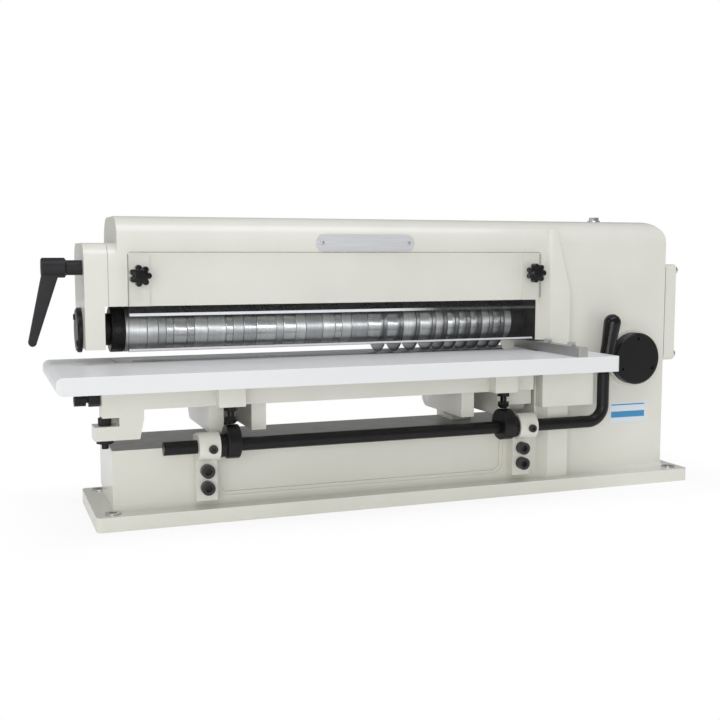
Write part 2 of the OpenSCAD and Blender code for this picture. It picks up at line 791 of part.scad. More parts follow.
// Table plan: stepped back at the column, with the roller's slot open at the right
module table() {
    x0 = x_left - block_w - table_left + 1;
    x1 = x_col + table_right;
    color([0.88, 0.88, 0.87]) difference() {
        intersection() {
            along_y(table_y0 - 1, 2 * body_d) union() {
                round_rect([x0, table_z0], [x1 - 2 * table_r, table_z], table_r);
                round_rect([x0 + 2 * table_r, table_z0], [x1, table_z], table_r / 3);
            }
            translate([0, 0, table_z0 - 1]) linear_extrude(table_t + 2) difference() {
                union() {
                    round_rect([x0, table_y0], [x1, table_step_y], 5);
                    translate([x0, table_y0 + 20]) square([table_step_x - x0, table_y1 - table_y0 - 20]);
                }
                round_rect([tab_x, slot_y], [x_col + 20, slot_y1], slot_r);
            }
        }
        table_screw_places() translate([0, 0, -1]) cylinder(d = small_d + 2 * seat, h = 13);
        for (y = fence_screw_y) translate([fence_x + fence_w / 2, y, table_z - 12])
            cylinder(d = small_d + 2 * seat, h = 13);
    }
}

module table_screws() {
    color(steel) table_screw_places() translate([0, 0, -flange_t]) hex_screw(small_d, flange_t + 11, 10, 4);
}

fence_screw_y = [table_y0 + 28, table_step_y - 9];

module fence_bar() {
    color(steel) difference() {
        block([fence_x, table_y0, table_z], [fence_x + fence_w, y_front + 53, table_z + fence_h]);
        for (y = fence_screw_y) translate([fence_x + fence_w / 2, y, table_z - 1])
            cylinder(d = small_d + 2 * seat, h = fence_h + 2);
    }
}

module fence_screws() {
    color(steel) for (y = fence_screw_y)
        translate([fence_x + fence_w / 2, y, table_z + fence_h]) rotate([180, 0, 0])
            hex_screw(small_d, fence_h + 11, 10, 4.5);
}

// Axial stop screw of the roller, in the left bracket
module adjusting_screw() {
    color(black) translate([bracket_x - adjust_nut_t - 3, adjust_y, adjust_z]) rotate([0, 90, 0])
        cap_screw(8, adjust_nut_t + 21, 15, 13);
}

module adjusting_nut() {
    color(black) translate([bracket_x - adjust_nut_t, adjust_y, adjust_z]) rotate([0, 90, 0])
        hex_nut(8 + 2 * seat, 15, adjust_nut_t - seat);
}

// Screw through the carriage's left foot, held by a nut below
module foot_screw() {
    color(black) translate([foot_screw_x, foot_screw_y, foot_z + foot_t]) rotate([180, 0, 0])
        hex_screw(8, foot_t + foot_nut_t + 6, 13, 9);
}

module foot_nut() {
    color(black) translate([foot_screw_x, foot_screw_y, foot_z - foot_nut_t])
        hex_nut(8 + 2 * seat, 17, foot_nut_t - seat);
}

module lift_studs() {
    foot_h = 8;
    color(black) for (x = stud_x) translate([x, stud_y, cam_top + 2 * gap]) {
        cylinder(d1 = 9, d2 = 14, h = 2.5);
        translate([0, 0, 2.5]) linear_extrude(foot_h - 2.5) hex(14);
        cylinder(r = 4, h = apron_z - cam_top + 16);
    }
}

module stud_nuts() {
    color(black) for (x = stud_x) translate([x, stud_y, apron_z - 5 - seat])
        hex_nut(8 + 2 * seat, 15, 5);
}

module pivot_pedestals() {
    w = cheek_in - 4;
    color(cream) pedestal_places() difference() {
        along_x(-w / 2, w) {
            translate([piv_y - 13, beam_top]) square([23, piv_z - beam_top]);
            translate([piv_y - 1.5, piv_z]) circle(11.5);
            translate([piv_y - 38, beam_top]) square([40, 7]);
        }
        rod_along_x(-w / 2 - 1, piv_y, piv_z, piv_r + fit, w + 2);
        translate([0, piv_y - 28, beam_top - 1]) cylinder(d = 8 + 2 * seat, h = 9);
    }
}

module pedestal_screws() {
    color(black) pedestal_places() translate([0, piv_y - 28, beam_top + 7]) rotate([180, 0, 0])
        cap_screw(8, 19, 13, 6);
}

module pivot_pins() {
    len = 2 * cheek_w + cheek_in;
    color(steel) for (x = fork_x) rod_along_x(x, piv_y, piv_z, piv_r, len);
}

// Split bearing bracket of the lift shaft, bolted to the beam
module lift_bracket(x) {
    r = rod_d / 2 + 8.6;
    color(cream) difference() {
        along_x(x, bracket_w) {
            translate([rod_y, rod_z]) circle(r);
            translate([rod_y, rod_z - r + 1]) square([rod_out, 2 * r - 6]);
            translate([y_front - bracket_plate_t, base_t + foot_r])
                square([bracket_plate_t, rod_z - base_t - 12]);
        }
        rod_along_x(x - 1, rod_y, rod_z, rod_d / 2 + fit, bracket_w + 2);
        for (z = bracket_z) rod_along_y(x + bracket_w / 2, y_front - bracket_plate_t - 1, z,
            screw_d / 2 + seat, bracket_plate_t + 2);
        rod_along_y(x + set_at * bracket_w, rod_y - r - 1, rod_z - 1, set_r + seat, r - rod_d / 2 + 2);
    }
}

module left_bracket() {
    lift_bracket(left_bracket_x);
}

module right_bracket() {
    lift_bracket(right_bracket_x);
}

module bracket_screws() {
    color(black) {
        bracket_screw_places() translate([0, 0, -bracket_plate_t])
            cap_screw(screw_d, bracket_plate_t + tap_depth - 2, 16, 9.6);
        for (x = [left_bracket_x, right_bracket_x])
            translate([x + set_at * bracket_w, rod_y - rod_d / 2 - gap - set_len, rod_z - 1])
                rotate([-90, 0, 0]) difference() {
                    cylinder(r = set_r, h = set_len);
                    translate([0, 0, -1]) linear_extrude(4) hex(5);
                }
    }
}

// Bent rod: straight along the two brackets, a bend, then up to the leaning grip
module lift_shaft() {
    color(black) {
        rod_along_x(rod_x0, rod_y, rod_z, rod_d / 2, lever_x - bend_r - rod_x0);
        translate([lever_x - bend_r, rod_y, rod_z + bend_r]) rotate([90, 0, 0]) rotate([0, 0, -90])
            rotate_extrude(angle = 90) translate([bend_r, 0]) circle(rod_d / 2);
        rod_up(lever_x, rod_y, rod_z + bend_r, rod_d / 2, knee_z - rod_z - bend_r);
        translate([lever_x, rod_y, knee_z]) sphere(rod_d / 2);
        translate([lever_x, rod_y, knee_z]) rotate([0, lean, 0])
            cylinder(r = 6, h = core_h);
    }
}

module lever_grip() {
    color(black) translate([lever_x, rod_y, knee_z]) rotate([0, lean, 0]) difference() {
        translate([0, 0, 8.5]) rotate_extrude() polygon(concat(
            [[0, 0], [8.5, 0], [9.2, 1.5], [9.4, grip_h / 2], [11.4, grip_h]],
            arc([0, grip_h], 11.4, 0, 90, 6)));
        translate([0, 0, 7]) cylinder(r = 6 + seat, h = core_h - 7 + seat);
    }
}

// One eccentric with its hub; side is 1 where the hub lies left of the disc
module eccentric(x, side) {
    disc_x = side > 0 ? x + hub_w : x;
    hub_x = side > 0 ? x : x + cam_w;
    difference() {
        union() {
            translate([disc_x, rod_y, rod_z + cam_throw]) rotate([0, 90, 0]) rotate_extrude($fn = 72)
                polygon([[0, 0], [cam_d / 2 - 1, 0], [cam_d / 2, 1], [cam_d / 2, cam_w - 1],
                    [cam_d / 2 - 1, cam_w], [0, cam_w]]);
            rod_along_x(side > 0 ? hub_x : hub_x - 1, rod_y, rod_z, rod_d / 2 + hub_t, hub_w + 1);
        }
        rod_along_x(x - 1, rod_y, rod_z, rod_d / 2 + fit, cam_w + hub_w + 2);
    }
}

module eccentrics() {
    color(black) {
        eccentric(left_cam_x, 1);
        eccentric(right_cam_x - hub_w - cam_w, -1);
    }
}

// Side view of the clear guard: flat above, bent back into the throat below
module guard_side_2d() {
    a = atan(guard_lip / (guard_bend_z - guard_z0));
    centre = [guard_y + guard_bend_r, guard_bend_z];
    run = (guard_bend_z - guard_bend_r * sin(a) - guard_z0) / cos(a);
    tip = centre - guard_bend_r * [cos(a), sin(a)] + run * [sin(a), -cos(a)];
    polygon(concat([[guard_y - guard_t, guard_z1], [guard_y, guard_z1]],
        arc(centre, guard_bend_r, 180, 180 + a, 4), [tip, tip - guard_t * [cos(a), sin(a)]],
        arc(centre, guard_bend_r + guard_t, 180 + a, 180, 4)));
}

module guard_plate() {
    color([0.92, 0.94, 0.92, 0.35]) difference() {
        intersection() {
            along_x(guard_x0, guard_x1 - guard_x0) guard_side_2d();
            along_y(y_front - 20, 60) union() {
                round_rect([guard_x0, arm_z + 1], [guard_x1, guard_z1], 4);
                translate([guard_x0, guard_z0]) square([lip_x1 - guard_x0, arm_z + 20 - guard_z0]);
            }
        }
        for (x = knob_x) along_y(y_front - 20, 60)
            round_rect([x - guard_slot_w / 2, knob_z - 4], [x + guard_slot_w / 2, guard_slot_top],
                guard_slot_w / 2 - 0.01);
    }
}

module guard_studs() {
    color(steel) for (x = knob_x)
        rod_along_y(x, guard_y - guard_t - 12, knob_z, small_d / 2, guard_t + 12 + pad_t + wall);
}

// Seven-lobed knob on its stud
module star_knob(x) {
    y = guard_y - guard_t - gap;
    core_r = knob_d * 0.36;
    lobe_r = knob_d * 0.14;
    color(black) difference() {
        translate([x, y, knob_z]) rotate([90, 0, 0]) union() {
            cylinder(d = knob_d * 0.5, h = 5);
            translate([0, 0, 4]) cylinder(r = core_r, h = 10);
            translate([0, 0, 13.9]) cylinder(r1 = core_r, r2 = core_r - 3, h = 2);
            for (i = [0:6]) rotate(i * 360 / 7) translate([knob_d / 2 - lobe_r, 0, 4.5]) {
                cylinder(r = lobe_r, h = 9);
                translate([0, 0, 8.99]) cylinder(r1 = lobe_r, r2 = lobe_r - 1.2, h = 1.2);
            }
        }
        rod_along_y(x, y - 13, knob_z, small_d / 2 + fit, 14);
    }
}

module left_knob() {
    star_knob(knob_x[0]);
}

module right_knob() {
    star_knob(knob_x[1]);
}

frame_casting();
end_block();
left_bush();
bearing_cap();
cap_screws();
right_bush();
clamp_screw();
clamp_lever();
front_cover();
front_cover_screws();
side_cover();
side_cover_spacers();
side_cover_screws();
oil_plug();
hold_down_washers();
drive_shaft();
drive_bushes();
cutter_shaft();
shaft_nut();
set_collar();
collar_screw();
spacer_rings();
knives();
end_collar();
upper_gear();
feed_roller();
lower_gear();
carriage_casting();
roller_bushes();
table();
table_screws();
fence_bar();
fence_screws();
adjusting_screw();
adjusting_nut();
foot_screw();
foot_nut();
lift_studs();
stud_nuts();
pivot_pedestals();
pedestal_screws();
pivot_pins();
left_bracket();
right_bracket();
bracket_screws();
lift_shaft();
eccentrics();
lever_grip();
guard_plate();
guard_studs();
left_knob();
right_knob();
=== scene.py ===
import json
import math

import bpy
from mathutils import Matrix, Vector


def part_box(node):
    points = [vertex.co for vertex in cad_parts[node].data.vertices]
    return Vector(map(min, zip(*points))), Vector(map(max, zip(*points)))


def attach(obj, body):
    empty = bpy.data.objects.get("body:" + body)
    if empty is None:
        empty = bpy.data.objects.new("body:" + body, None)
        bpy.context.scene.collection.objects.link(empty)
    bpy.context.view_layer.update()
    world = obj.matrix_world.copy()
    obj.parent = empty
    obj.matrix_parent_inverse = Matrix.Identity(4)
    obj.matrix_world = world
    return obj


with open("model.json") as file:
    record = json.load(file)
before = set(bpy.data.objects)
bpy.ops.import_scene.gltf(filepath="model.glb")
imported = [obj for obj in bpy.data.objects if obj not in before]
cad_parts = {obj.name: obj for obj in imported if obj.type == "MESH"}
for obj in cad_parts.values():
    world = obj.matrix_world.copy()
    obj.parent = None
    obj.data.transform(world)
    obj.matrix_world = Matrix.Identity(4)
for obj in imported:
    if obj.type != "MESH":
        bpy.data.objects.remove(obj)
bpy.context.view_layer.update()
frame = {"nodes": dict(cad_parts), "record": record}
NODES = frame["nodes"]

# Camera of the photograph, in metres and degrees
CAMERA_AT = (-0.5235, -1.2545, 0.312)
CAMERA_YAW = 20.5
CAMERA_DOWN = 5.8
CAMERA_LENS = 52.0

# Colour of the lamps from above and from the side
SKYLIGHT = (0.96, 0.98, 1.08)
# Brightness of the surroundings as soft light and in reflections
WORLD_DIFFUSE = 0.50
WORLD_GLOSSY = 0.30

# Casting's front face, the nameplate and the label: X from and to, Z from and to
FRONT_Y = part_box("end_block")[0][1]
NAMEPLATE = (-0.131, -0.002, 0.3155, 0.3365)
PLATE_T = 0.0012
PLATE_SUNK = 0.0022  # how deep the back of a plate lies in the casting
LABEL = (0.291, 0.3495, 0.0815, 0.1095)

# Painted shade and one dark joint on the casting: lowest and highest corner of each box, and the
# dark tone painted there
PAINTED_SHADE_AND_JOINT = (
    # painted shade: the arm's hollow, dark where the light does not reach into it
    ((-0.3565, -0.0395, 0.2522), (0.1735, 0.0545, 0.3315), 0.021),  # inside the arm
    # painted shade: the column's face round the right bearing, dark in the throat's shadow
    ((0.1715, -0.0515, 0.1865), (0.1745, 0.0680, 0.2545), 0.021),  # round the right bearing
    # painted shade: the beam's top, darker where the table and carriage shade it
    ((-0.3765, -0.0510, 0.0865), (0.1640, 0.0660, 0.0875), 0.215),  # the beam's top
    ((-0.3782, -0.0535, 0.2500), (-0.3772, 0.0400, 0.3220), 0.36),  # joint of arm and end block
)

# Half the base plate's length and width, and how far from it the floor turns white
BASE_HALF = (0.40, 0.0825)
FLOOR_FADE = 0.12

# Guard sheet: top and width of the painted highlight along the line where it is bent, width of its
# dark cut edges, and how high the painted highlight at the tip of its lip reaches
BEND_Z = 0.2450
BEND_W = 0.0032
GUARD_RIM = 0.0010
GUARD_TIP = 0.0032


def make_camera():
    data = bpy.data.cameras.new("photo_camera")
    data.lens = CAMERA_LENS
    data.sensor_width = 36.0
    data.clip_start = 0.01
    data.clip_end = 100.0
    cam = bpy.data.objects.new("photo_camera", data)
    cam.location = CAMERA_AT
    cam.rotation_euler = (math.radians(90 - CAMERA_DOWN), 0, math.radians(-CAMERA_YAW))
    bpy.context.scene.collection.objects.link(cam)
    bpy.context.scene.camera = cam


class Shader:
    """A material under construction: nodes by type, linked by socket name."""

    def __init__(self, name):
        self.mat = bpy.data.materials.new(name)
        self.mat.use_nodes = True
        self.tree = self.mat.node_tree
        self.bsdf = self.tree.nodes["Principled BSDF"]
        coord = self.tree.nodes.new("ShaderNodeTexCoord")
        self.place = coord.outputs["Object"]

    def set(self, **values):
        """Sets the shader's own sockets; an underscore in a name stands for a space."""
        for name, value in values.items():
            self.bsdf.inputs[name.replace("_", " ")].default_value = value
        return self

    def feed(self, socket, value):
        """Links an output to the socket, or sets the socket to a plain value."""
        if isinstance(value, bpy.types.NodeSocket):
            self.tree.links.new(value, socket)
        else:
            socket.default_value = value

    def node(self, kind, inputs=None, **settings):
        made = self.tree.nodes.new("ShaderNode" + kind)
        for name, value in settings.items():
            setattr(made, name, value)
        for name, value in (inputs or {}).items():
            self.feed(made.inputs[name], value)
        return made

    def stretched(self, scale):
        return self.node("Mapping", {"Vector": self.place, "Scale": scale}).outputs["Vector"]

    def noise(self, scale, detail=2.0, rough=0.5, stretch=(1, 1, 1)):
        made = self.node("TexNoise", {"Vector": self.stretched(stretch), "Scale": scale,
                                      "Detail": detail, "Roughness": rough})
        return made.outputs["Fac"]

    def ramp(self, value, low, high, a=0.0, b=1.0):
        """Maps value from a..b to low..high."""
        made = self.node("MapRange", {"Value": value, "From Min": a, "From Max": b,
                                      "To Min": low, "To Max": high})
        return made.outputs["Result"]

    def mix(self, factor, first, second, blend="MIX"):
        """Mixes two colours; the numbers are the places of the colour sockets of a Mix node."""
        made = self.node("Mix", data_type="RGBA", blend_type=blend)
        for place, value in ((0, factor), (6, first), (7, second)):
            self.feed(made.inputs[place], value)
        return made.outputs[2]

    def bump(self, height, distance, strength=1.0, normal=None):
        inputs = {"Height": height, "Distance": distance, "Strength": strength}
        if normal is not None:
            inputs["Normal"] = normal
        return self.node("Bump", inputs).outputs["Normal"]

    def axis(self, name):
        """One coordinate of the place, in metres."""
        return self.node("SeparateXYZ", {"Vector": self.place}).outputs[name]

    def maths(self, operation, a, b=0.0):
        made = self.node("Math", operation=operation)
        for socket, value in zip(made.inputs, (a, b)):
            self.feed(socket, value)
        return made.outputs[0]

    def between(self, value, low, high):
        """1 where the value lies between low and high, 0 elsewhere."""
        return self.maths("MULTIPLY", self.maths("GREATER_THAN", value, low),
                          self.maths("LESS_THAN", value, high))

    def inside(self, low, high):
        """1 inside the box from its lowest to its highest corner."""
        parts = [self.between(self.axis(n), low[i], high[i]) for i, n in enumerate("XYZ")]
        return self.maths("MULTIPLY", self.maths("MULTIPLY", parts[0], parts[1]), parts[2])

    def link(self, output, name):
        self.tree.links.new(output, self.bsdf.inputs[name])
        return self


def rgb(r, g, b):
    return (r, g, b, 1.0)


def toned(colour, tone):
    """The colour with each of its three parts times the tone."""
    return rgb(*(part * tone for part in colour))


def cream_enamel(shade_and_joint=()):
    """Gloss cream enamel over a metal casting that is a little uneven. Each of the given boxes is
    filled with its dark tone: painted shade in the hollows and under the table, and the dark joint
    of arm and end block."""
    s = Shader("cream_enamel_casting" if shade_and_joint else "cream_enamel")
    s.set(Metallic=0.0, Coat_Weight=0.45, Coat_Roughness=0.10, IOR=1.5)
    cloud = s.noise(9.0, 3.0)
    colour = s.mix(s.ramp(cloud, 0.0, 1.0, 0.35, 0.65), rgb(0.705, 0.695, 0.620),
                   rgb(0.745, 0.735, 0.660))
    for low, high, tone in shade_and_joint:
        dark_fill = s.mix(s.noise(60.0, 4.0), toned((0.60, 0.60, 0.55), tone),
                     toned((1.4, 1.38, 1.24), tone))
        # inside each box the cream gives way to the dark fill: painted shade, save for the real
        # dark joint of arm and end block
        colour = s.mix(s.inside(low, high), colour, dark_fill)
    s.link(colour, "Base Color")
    s.link(s.ramp(s.noise(35.0, 3.0), 0.27, 0.42), "Roughness")
    peel = s.bump(s.noise(420.0, 2.0), 0.0004, 0.10)
    waves = s.bump(s.noise(22.0, 2.0), 0.0022, 0.20, peel)
    s.link(waves, "Normal")
    return s.mat


def table_enamel():
    """Smooth satin enamel of the table, paler than the castings."""
    s = Shader("table_enamel")
    s.set(Metallic=0.0, IOR=1.22)
    s.link(s.mix(s.noise(7.0, 3.0), rgb(0.74, 0.745, 0.735), rgb(0.78, 0.785, 0.775)), "Base Color")
    s.link(s.ramp(s.noise(30.0, 3.0), 0.28, 0.40), "Roughness")
    s.link(s.bump(s.noise(9.0, 1.0), 0.001, 0.10), "Normal")
    return s.mat


def black_oxide(name="black_oxide", tone=1.0):
    """Blackened steel with a little oil on it; a higher tone lightens it all over, a painted
    highlight so that small screw heads show.
    """
    s = Shader(name)
    s.set(Metallic=0.0, IOR=1.36)
    s.link(s.mix(s.noise(60.0, 4.0), toned((0.004, 0.004, 0.004), tone),
                 toned((0.010, 0.009, 0.009), tone)), "Base Color")
    s.link(s.ramp(s.noise(90.0, 4.0), 0.24, 0.42), "Roughness")
    s.link(s.bump(s.noise(500.0, 2.0), 0.0002, 0.25), "Normal")
    return s.mat


def black_powder():
    """Fine powder coat of the die-cast clamp lever."""
    s = Shader("black_powder")
    s.set(Metallic=0.0, IOR=1.4)
    s.link(s.mix(s.noise(80.0, 3.0), rgb(0.010, 0.010, 0.011), rgb(0.018, 0.018, 0.020)),
           "Base Color")
    s.link(s.ramp(s.noise(120.0, 3.0), 0.42, 0.56), "Roughness")
    s.link(s.bump(s.noise(900.0, 2.0), 0.0003, 0.35), "Normal")
    return s.mat


def black_plastic():
    """Moulded black plastic of the knobs and the grip."""
    s = Shader("black_plastic")
    s.set(Metallic=0.0, IOR=1.36)
    s.link(s.mix(s.noise(50.0, 2.0), rgb(0.004, 0.004, 0.004), rgb(0.009, 0.009, 0.009)),
           "Base Color")
    s.link(s.ramp(s.noise(140.0, 3.0), 0.15, 0.24), "Roughness")
    s.link(s.bump(s.noise(300.0, 2.0), 0.0002, 0.12), "Normal")
    return s.mat


def turned_steel(name, dark, light, rough=(0.16, 0.34), along=1400.0, spread=None):
    """Steel turned about X: fine lines round the shaft. With a spread, each ring has its own
    tone, from the spread up to 1, and its own roughness."""
    s = Shader(name)
    s.set(Metallic=1.0)
    lines = s.noise(1.0, 3.0, 0.6, (along, 0.8, 0.8))
    blotch = s.noise(30.0, 4.0, 0.6, (1.0, 0.35, 0.35))
    colour = s.mix(s.ramp(blotch, 0.0, 1.0, 0.3, 0.7), dark, light)
    colour = s.mix(s.ramp(lines, 0.0, 0.35, 0.35, 0.7), colour, rgb(0.10, 0.10, 0.11))
    if spread:
        shade = s.node("NewGeometry").outputs["Random Per Island"]
        tones = s.mix(shade, toned((1.0, 1.0, 1.01), spread), rgb(1.0, 1.0, 0.98))
        colour = s.mix(1.0, colour, tones, "MULTIPLY")
    s.link(colour, "Base Color")
    finish = s.ramp(lines, rough[0], rough[1], 0.3, 0.7)
    if spread:
        other_shade = s.maths("FRACT", s.maths("MULTIPLY", shade, 7.3))
        finish = s.maths("ADD", finish, s.ramp(other_shade, 0.0, 0.16))
    s.link(finish, "Roughness")
    s.link(s.bump(lines, 0.00003, 0.12), "Normal")
    return s.mat


def bright_steel():
    """Plated steel of screws, washers and plugs."""
    s = Shader("bright_steel")
    s.set(Metallic=1.0)
    s.link(s.mix(s.noise(80.0, 3.0), rgb(0.52, 0.52, 0.53), rgb(0.68, 0.68, 0.68)), "Base Color")
    s.link(s.ramp(s.noise(160.0, 3.0), 0.22, 0.40), "Roughness")
    s.link(s.bump(s.noise(600.0, 2.0), 0.0001, 0.2), "Normal")
    return s.mat


def milled_steel():
    """Milled flat bar, with the cutter's marks across it."""
    s = Shader("milled_steel")
    s.set(Metallic=0.9)
    lines = s.noise(1.0, 2.0, 0.5, (60.0, 900.0, 60.0))
    s.link(s.mix(s.noise(30.0, 3.0), rgb(0.46, 0.46, 0.44), rgb(0.60, 0.60, 0.58)), "Base Color")
    s.link(s.ramp(lines, 0.34, 0.52), "Roughness")
    s.link(s.bump(lines, 0.0001, 0.3), "Normal")
    return s.mat


def bearing_bronze():
    """Turned bearing bronze."""
    s = Shader("bearing_bronze")
    s.set(Metallic=1.0)
    s.link(s.mix(s.noise(60.0, 3.0), rgb(0.52, 0.33, 0.12), rgb(0.66, 0.46, 0.20)), "Base Color")
    s.link(s.ramp(s.noise(1.0, 2.0, 0.5, (900.0, 20.0, 20.0)), 0.25, 0.45), "Roughness")
    return s.mat


def clear_acrylic():
    """Clear guard sheet: mostly seen through and dark at its cut edges, the bottom one being
    painted shade under the lip.
    A painted highlight runs along the bend and along the tip of its lip."""
    s = Shader("clear_acrylic")
    s.set(Metallic=0.0, IOR=1.49)
    x, z = s.axis("X"), s.axis("Z")
    (x0, _, z0), (x1, _, z1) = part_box("guard_plate")
    middle = s.maths("MULTIPLY", s.between(x, x0 + GUARD_RIM, x1 - GUARD_RIM),
                     s.between(z, z0 + GUARD_RIM, z1 - GUARD_RIM))
    # dark rim round the sheet; along its bottom edge this is painted shade under the lip
    edge = s.maths("SUBTRACT", 1.0, middle)
    # painted highlight along the tip of the lip
    tip = s.between(z, z0 + GUARD_RIM, z0 + GUARD_TIP)
    # the painted highlight on the bend fades out to the right, where the lamp's reflection in the
    # bend ends
    fade = s.ramp(x, 1.0, 0.06, -0.03, 0.03)
    bend = s.maths("MULTIPLY", s.between(z, BEND_Z - BEND_W, BEND_Z), fade)
    bend_and_tip_highlight = s.maths("MAXIMUM", tip, bend)
    alpha = s.maths("MAXIMUM", s.ramp(bend_and_tip_highlight, 0.012, 0.75), s.maths("MULTIPLY", edge, 0.30))
    s.link(alpha, "Alpha")
    clear = s.mix(s.noise(12.0, 2.0), rgb(0.66, 0.68, 0.65), rgb(0.74, 0.76, 0.73))
    # the painted highlight is mixed in as a near-white colour
    white = s.mix(bend_and_tip_highlight, clear, rgb(0.86, 0.87, 0.90))
    s.link(s.mix(edge, white, rgb(0.10, 0.10, 0.09)), "Base Color")
    s.link(s.ramp(s.noise(40.0, 3.0), 0.03, 0.07), "Roughness")
    return s.mat


MATERIALS = {
    "cream_paint": cream_enamel(),
    "casting": cream_enamel(PAINTED_SHADE_AND_JOINT),
    "table_finish": table_enamel(),
    "black_steel": black_oxide(),
    # screw heads: black oxide lightened five times over, a painted highlight standing in for their
    # lit rims
    "highlight_lightened_screw": black_oxide("highlight_lightened_black_oxide", 5.0),
    "black_cast_handle": black_powder(),
    "black_plastic": black_plastic(),
    "bright_steel": bright_steel(),
    "ring_steel": turned_steel("ring_steel", rgb(0.64, 0.66, 0.68), rgb(0.85, 0.87, 0.88),
                               (0.14, 0.30), spread=0.66),
    "knife_steel": turned_steel("knife_steel", rgb(0.28, 0.285, 0.29), rgb(0.40, 0.405, 0.41),
                                (0.25, 0.4)),
    "fence_steel": milled_steel(),
    "roller_steel": turned_steel("roller_steel", rgb(0.66, 0.66, 0.65), rgb(0.78, 0.78, 0.77),
                                 (0.3, 0.45), along=500.0),
    "bronze": bearing_bronze(),
    "clear_guard": clear_acrylic(),
}

# Nodes whose look differs from that of their material slot
# collar_screw and bracket_screws get the lightened black oxide, a painted highlight
OWN_LOOK = {"frame_casting": "casting", "collar_screw": "highlight_lightened_screw",
            "bracket_screws": "highlight_lightened_screw"}


def dress_nodes():
    slots = {row["node"]: row["material_slot"] for row in frame["record"]["subparts"]}
    for name, obj in NODES.items():
        obj.data.materials.clear()
        obj.data.materials.append(MATERIALS[OWN_LOOK.get(name, slots[name])])


# Edge radius of each node's visible edges, in metres, and that of the nodes not named
EDGE_RADIUS = {
    "frame_casting": 0.0016, "end_block": 0.0014, "table": 0.0018, "carriage_casting": 0.0016,
    "side_cover": 0.0016, "left_bracket": 0.0012, "right_bracket": 0.0012, "pivot_pedestals": 0.001,
    "clamp_lever": 0.0009, "guard_plate": 0.0003, "fence_bar": 0.0004,
}
FINE_EDGE = 0.00025


def soften_edges():
    """Rounds the sharp edges of the nodes with a modifier, so that they catch the light."""
    for name, obj in NODES.items():
        weld = obj.modifiers.new("weld", "WELD")
        weld.merge_threshold = 1e-6
        bevel = obj.modifiers.new("edges", "BEVEL")
        bevel.width = EDGE_RADIUS.get(name, FINE_EDGE)
        bevel.segments = 2
        bevel.limit_method = "ANGLE"
        bevel.angle_limit = math.radians(38)
        for face in obj.data.polygons:
            face.use_smooth = True
        shading = obj.modifiers.new("shading", "WEIGHTED_NORMAL")
        shading.weight = 50


def area_light(name, at, aim, size, power, colour=(1, 1, 1), only=()):
    """Soft rectangular lamp; with only, it lights no more than the nodes named there."""
    data = bpy.data.lights.new(name, "AREA")
    data.shape = "RECTANGLE"
    data.size, data.size_y = size
    data.energy = power
    data.color = colour
    lamp = bpy.data.objects.new(name, data)
    lamp.location = at
    lamp.rotation_mode = "QUATERNION"
    lamp.rotation_quaternion = (Vector(aim) - Vector(at)).to_track_quat("-Z", "Y")
    bpy.context.scene.collection.objects.link(lamp)
    if only:
        lit = bpy.data.collections.new(name + "_lights")
        for node in only:
            lit.objects.link(NODES[node])
        lamp.light_linking.receiver_collection = lit


def light_the_studio():
    area_light("key", (-1.35, -2.5, 0.55), (0, 0, 0.15), (2.2, 1.0), 23)
    area_light("top", (0.0, -0.8, 2.2), (0, 0, 0.1), (2.4, 1.0), 18, SKYLIGHT)
    area_light("side", (-2.4, 0.2, 1.2), (-0.3, 0, 0.25), (1.0, 1.0), 7, SKYLIGHT)
    area_light("strip", (0.55, -2.4, 0.17), (0, 0, 0.2), (1.3, 0.22), 5,
               only=("spacer_rings", "knives"))


def light_the_world():
    """White surroundings, dimmer to all but the camera, and dimmest in reflections."""
    world = bpy.data.worlds.new("studio")
    bpy.context.scene.world = world
    world.use_nodes = True
    tree = world.node_tree
    back = tree.nodes["Background"]
    back.inputs["Color"].default_value = (1, 1, 1, 1)
    path = tree.nodes.new("ShaderNodeLightPath")
    total = tree.nodes.new("ShaderNodeMath")
    total.operation = "ADD"
    rays = (("Is Camera Ray", WORLD_DIFFUSE, 1.0),
            ("Is Glossy Ray", 0.0, WORLD_GLOSSY - WORLD_DIFFUSE))
    for part, (ray, otherwise, seen) in zip(total.inputs, rays):
        share = tree.nodes.new("ShaderNodeMapRange")
        share.inputs["To Min"].default_value = otherwise
        share.inputs["To Max"].default_value = seen
        tree.links.new(path.outputs[ray], share.inputs["Value"])
        tree.links.new(share.outputs["Result"], part)
    tree.links.new(total.outputs[0], back.inputs["Strength"])


def make_floor():
    """Pale floor that keeps the shadow near the object and fades into the white background."""
    bpy.ops.mesh.primitive_plane_add(size=12, location=(0, 0, 0))
    floor = bpy.context.active_object
    floor.name = "studio_floor"
    s = Shader("studio_floor")
    s.set(Roughness=0.9, IOR=1.1, Emission_Color=(1, 1, 1, 1), Emission_Strength=0.12)
    s.link(s.mix(s.noise(0.5, 1.0), rgb(0.91, 0.91, 0.91), rgb(0.93, 0.93, 0.93)), "Base Color")
    out = s.tree.nodes["Material Output"]
    path = s.node("LightPath")
    glow = s.node("Emission", {"Color": (1, 1, 1, 1), "Strength": 1.0})
    out_x, out_y = (s.maths("SUBTRACT", s.maths("ABSOLUTE", s.axis(name)), half)
                    for name, half in zip("XY", BASE_HALF))
    fade = s.ramp(s.maths("MAXIMUM", out_x, out_y), 0.80, 1.0, 0.0, FLOOR_FADE)
    share = s.maths("MULTIPLY", path.outputs["Is Camera Ray"], fade)
    mixed = s.node("MixShader", {"Fac": share})
    s.tree.links.new(s.bsdf.outputs["BSDF"], mixed.inputs[1])
    s.tree.links.new(glow.outputs["Emission"], mixed.inputs[2])
    s.tree.links.new(mixed.outputs["Shader"], out.inputs["Surface"])
    floor.data.materials.append(s.mat)


